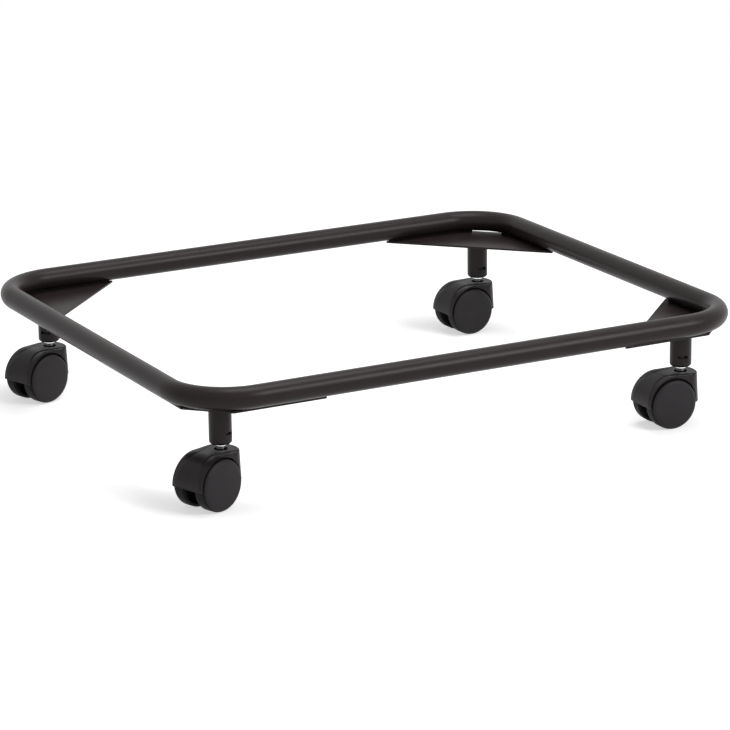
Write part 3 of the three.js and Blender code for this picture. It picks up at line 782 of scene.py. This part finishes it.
def box(low, high):
    """A plain block for cutting."""
    x, y, z = np.meshgrid(*[(a, b) for a, b in zip(low, high)], indexing="ij")
    points = np.stack([x, y, z], axis=-1).reshape(-1, 3)
    return points, [
        (0, 1, 3, 2), (4, 6, 7, 5), (0, 4, 5, 1), (2, 3, 7, 6), (0, 2, 6, 4), (1, 5, 7, 3)]


def wheel_well(side):
    """The room for one wheel, open to the outside."""
    return along_axle(plug(well_radius, hub_face, 30, 160), side)


def hood_web():
    """The web between the bosses: its outline follows the roof's underside."""
    start, end, half = 6.0, 33.0, 1.5
    over = np.linspace(end, start, 24)
    top = np.column_stack([over, roof_line(over, hood_skin / 2)])
    outline = np.concatenate([[(start, 24.0), (axle_offset, 20.5), (25.5, 25.0)], top])
    points, faces = layered([outline, outline], [-half, half])
    return points[:, (0, 2, 1)], faces


def hood_mesh():
    """The moulded hood, standing on its own stem's axis: the hollowed shell, the boss of the
    stem, the ring of the axle, the web and a rib across."""
    outer = mesh_of("hood", [hood_form(0.0, 14.0, True)])
    inner = mesh_of("hollow", [hood_form(hood_skin, 8.0, False)])
    cutters = [inner] + [mesh_of("well", [wheel_well(side)]) for side in (1, -1)]
    cutters.append(mesh_of("below", [box((-40, -40, 0), (60, 40, hood_skirt))]))
    recess, recess_foot = 6.5, 49.0
    cutters.append(mesh_of("hole", [plug(recess, 45, 60, 72)]))
    shell = cut_with(outer, cutters)
    bore, bore_foot, wall, wall_foot, wall_top = 4.6, 21.3, 7.0, 19.0, 51.6
    boss = eased([
        (0, bore_foot), (bore, bore_foot), (bore, recess_foot), (recess, recess_foot),
        (recess, wall_top), (wall, wall_top), (wall, wall_foot), (0, wall_foot)],
        (0, 0.3, 0.2, 0, 0, 0.6))
    hole, rim, end = 3.3, 7.5, 7.0
    ring = eased([
        (hole, 0), (hole, -end), (rim, -end), (rim, end), (hole, end), (hole, 0)],
        (0.3, 0.4, 0.4, 0.3))[:-1]
    axle_boss = along_axle(revolved(ring, 64, closed=True), 1)
    inside = mesh_of("bosses", [revolved(boss, 64), axle_boss, hood_web()])
    rib_x, rib_y, rib_foot, rib_top = 0.8, 17.2, 45.0, 50.5
    rib = mesh_of("rib", [box((-rib_x, -rib_y, rib_foot), (rib_x, rib_y, rib_top))])
    ribs = cut_with(rib, [mesh_of("room", [plug(6.8, 40, 60, 48)])])
    work = bmesh.new()
    for part in (shell, inside, ribs):
        work.from_mesh(part)
    mesh = bpy.data.meshes.new("hood")
    work.to_mesh(mesh)
    work.free()
    return mesh


def mesh_copy(mesh, name, turn_z, at):
    """A copy of a mesh with its place in its own points."""
    copy = mesh.copy()
    copy.name = name
    place = Matrix.Translation(Vector(at) * MM) @ Matrix.Rotation(math.radians(turn_z), 4, "Z")
    copy.transform(place)
    return copy


def wheel_skin():
    """The wheel's section: a shallow dome that runs into a full round shoulder, the tread and,
    inside, the rim's wall, the hub and its blind bore. The dome falls from its middle by a
    share of the radius squared."""
    shoulder, tread_end, dome_top, dome_fall = 4.5, 16.4, 21.85, 0.002218
    start = wheel_radius - shoulder
    face = np.linspace(0, start + 0.416, 20)
    dome = np.column_stack([face, dome_top - dome_fall * face ** 2])
    a = np.radians(np.linspace(84.7, 0, 14))[1:]
    turn = np.column_stack([start + shoulder * np.cos(a), tread_end + shoulder * np.sin(a)])
    rim, rim_face, bore_end = wheel_radius - 2.5, 7.7, 17.5
    inside = eased([
        (wheel_radius, 16.0), (wheel_radius, rim_face), (rim, rim_face), (rim, 16.9),
        (hub_radius, 18.4), (hub_radius, hub_face), (wheel_bore, hub_face),
        (wheel_bore, bore_end), (0, bore_end)],
        (0.8, 0.4, 1.0, 1.2, 0.4, 0.3, 0.2))
    section = np.concatenate([dome, turn, inside[1:]])
    return revolved(section, 128)


def wheel_rib(turn):
    """A rib between hub and rim: a thin plate whose free edge is rounded."""
    half, high, low = 0.7, 18.5, 9.7
    across = eased([(-half, high), (-half, low), (half, low), (half, high)], (0.6, 0.6), 4)
    run = np.array([6.0, 14.0, wheel_radius - 1.7])
    columns = len(across)
    level = np.ones((3, 1))
    points = np.stack([
        run[:, None] * np.ones(columns), level * across[:, 0], level * across[:, 1]], axis=-1)
    flat, faces = skin(points, wrap_columns=True)
    faces += [tuple(range(columns)), tuple(range(2 * columns, 3 * columns))]
    return moved((flat, faces), turn)


def wheel(name, label, side, swing, at):
    """A wheel at its place. The faces outside the shoulder's shade radius get the painted shade
    finish of the shoulder.
    """
    parts = [wheel_skin()] + [wheel_rib(turn) for turn in (0, 90, 180, 270)]
    mesh = mesh_of(name, [along_axle(part, side) for part in parts])
    middles = np.empty(3 * len(mesh.polygons))
    mesh.polygons.foreach_get("center", middles)
    across, _, height = middles.reshape(-1, 3).T / MM
    # Faces on the wheel's outer shoulder, which get the painted shade.
    tread = np.hypot(across - axle_offset, height - wheel_radius) > tread_start
    placed = mesh_copy(mesh, f"wheel_{label}_moulded_{name}", swing, at)
    piece(
        f"wheel_{label}_moulded_{name}", placed, "wheel", f"wheel_{label}_{name}",
        "wheel_plastic", f"wheel_{label}_{name}", angle=40)
    # The outer shoulder's faces take the painted shade finish.
    placed.materials.append(finishes["tread"])
    placed.polygons.foreach_set("material_index", tread.astype(np.int32))


def axle(name, swing, at):
    """The axle's section: a plain pin with a groove and a chamfer at each end."""
    inner, groove_start, groove_end, chamfer, end = axle_radius - 0.5, 13.0, 14.4, 16.7, 17.2
    half = [
        (axle_radius, groove_start), (inner, groove_start), (inner, groove_end),
        (axle_radius, groove_end), (axle_radius, chamfer), (inner, end), (0, end)]
    section = np.array([(r, -v) for r, v in half[::-1]] + half, float)
    placed = mesh_copy(mesh_of(name, [along_axle(revolved(section, 48), 1)]), name, swing, at)
    piece(f"axle_drawn_{name}", placed, "spring", f"castor_{name}", "spring_steel", f"axle_{name}")


def build_caddy():
    """The ring, then each corner's plate, post and castor. The hidden spring rings keep their
    solids and only get a finish."""
    tube_ring()
    hood = hood_mesh()
    for name, side_x, side_y, swing, cut in corners:
        at = (side_x * post_x, side_y * post_y, 0.0)
        plate = mesh_of(f"corner_plate_coated_{name}", [corner_plate(side_x, side_y)])
        piece(
            f"corner_plate_coated_{name}", plate, "coat", "frame", "coated_steel",
            f"corner_plate_{name}")
        beads = mesh_of(
            f"plate_welds_{name}",
            [leg_bead(along_x, side_x, side_y) for along_x in (True, False)])
        piece(f"plate_welds_{name}", beads, "weld", "frame", "coated_steel", angle=60)
        post(name, at, cut)
        socket(name, at)
        stem(name, at)
        placed = mesh_copy(hood, f"hood_moulded_{name}", swing, at)
        piece(
            f"hood_moulded_{name}", placed, "hood", f"castor_{name}", "hood_plastic",
            f"hood_{name}")
        axle(name, swing, at)
        for side, label in ((1, "a"), (-1, "b")):
            wheel(name, label, side, swing, at)
        for kind in ("grip_ring", "stem_clip"):
            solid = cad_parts[f"{kind}_{name}"]
            solid.data.materials.clear()
            solid.data.materials.append(finishes["spring"])


build_caddy()


def seen_or_mirrored(tree):
    """One where a ray comes from the camera, or from a mirror or glass: elsewhere nought."""
    path = tree.nodes.new("ShaderNodeLightPath")
    total = path.outputs["Is Camera Ray"]
    for name in ("Is Glossy Ray", "Is Transmission Ray"):
        either = tree.nodes.new("ShaderNodeMath")
        either.operation = "MAXIMUM"
        tree.links.new(total, either.inputs[0])
        tree.links.new(path.outputs[name], either.inputs[1])
        total = either.outputs[0]
    return total


def floor():
    """A pale floor that is white where no shadow falls, and keeps the castors' soft shadows."""
    mesh = bpy.data.meshes.new("floor")
    sides = ((-1, -1), (1, -1), (1, 1), (-1, 1))
    points = [(side_x * floor_half, side_y * floor_half, 0) for side_x, side_y in sides]
    mesh.from_pydata(points, [], [(0, 1, 2, 3)])
    ground = bpy.data.objects.new("floor", mesh)
    bpy.context.scene.collection.objects.link(ground)
    paper = Finish("floor_paper")
    tree = paper.tree
    glow = tree.nodes.new("ShaderNodeEmission")
    glow.inputs["Color"].default_value = (1.0, 1.0, 1.0, 1.0)
    matt = tree.nodes.new("ShaderNodeBsdfDiffuse")
    matt.inputs["Color"].default_value = (0.8, 0.8, 0.8, 1.0)
    seen = Value(paper, seen_or_mirrored(tree))
    tree.links.new((seen * floor_glow).socket, glow.inputs["Strength"])
    both = tree.nodes.new("ShaderNodeAddShader")
    tree.links.new(glow.outputs[0], both.inputs[0])
    tree.links.new(matt.outputs[0], both.inputs[1])
    output = next(n for n in tree.nodes if n.type == "OUTPUT_MATERIAL")
    tree.links.new(both.outputs[0], output.inputs["Surface"])
    mesh.materials.append(paper.material)


def studio_light():
    """A pale room with a broad soft lamp overhead and a smaller one high at the front right."""
    world = bpy.data.worlds.new("studio")
    world.use_nodes = True
    tree = world.node_tree
    sky = next(n for n in tree.nodes if n.type == "BACKGROUND")
    sky.inputs["Color"].default_value = (1.0, 1.0, 1.0, 1.0)
    lift = tree.nodes.new("ShaderNodeMath")
    lift.operation = "MULTIPLY_ADD"
    tree.links.new(seen_or_mirrored(tree), lift.inputs[0])
    lift.inputs[1].default_value = 1.0 - room_light
    lift.inputs[2].default_value = room_light
    tree.links.new(lift.outputs[0], sky.inputs["Strength"])
    bpy.context.scene.world = world
    for name, size, power, place in lamps:
        data = bpy.data.lights.new(name, "AREA")
        data.size = size
        data.energy = power
        lamp = bpy.data.objects.new(name, data)
        lamp.location = place
        aim = Vector((0, 0, lamp_aim)) - Vector(place)
        lamp.rotation_euler = aim.to_track_quat("-Z", "Y").to_euler()
        bpy.context.scene.collection.objects.link(lamp)
    bpy.context.scene.view_settings.view_transform = "Standard"


floor()
studio_light()


def plain(corners_of_box):
    """A box's corners as lists of numbers, ready for a file."""
    return [[float(v) for v in corner] for corner in corners_of_box]
